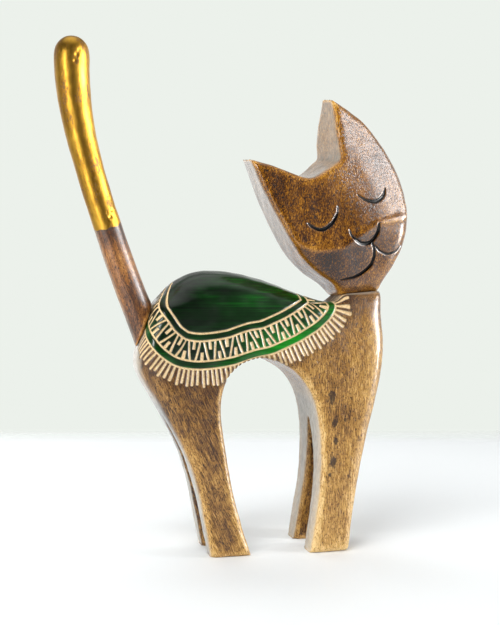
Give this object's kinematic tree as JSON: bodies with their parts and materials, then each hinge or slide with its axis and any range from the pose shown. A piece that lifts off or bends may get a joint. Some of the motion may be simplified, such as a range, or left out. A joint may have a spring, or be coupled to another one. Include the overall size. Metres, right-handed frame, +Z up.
{
  "type": "carved animal figure",
  "caption": "Free-standing carved wooden cat seen side on, with a tilted head, an arched back under a painted blanket, four splayed legs and a raised plug-in tail.",
  "frame": {"origin": "on the table under the middle of the whole figure's box", "axes": "+X along the body towards the head, -Y out of the carved face, +Z up"},
  "size_m": [0.1788, 0.043, 0.2513],
  "materials": {
    "body_wood": "varnished brown wood with a green painted blanket and incised cream lines",
    "head_wood": "varnished brown wood with blackened incised lines",
    "tail_wood": "varnished brown wood, gilded over its upper two thirds",
    "dowel_wood": "plain unfinished dowel"
  },
  "bodies": {
    "figure": {"body": "body_wood", "head": "head_wood", "neck_dowel": "dowel_wood"},
    "tail": {"tail": "tail_wood", "tail_peg": "dowel_wood"}
  },
  "joints": [
    {"name": "tail_pull", "type": "slide", "parent": "figure", "child": "tail", "axis": [-0.349, 0, 0.9371], "range_m": [0, 0.02]}
  ]
}
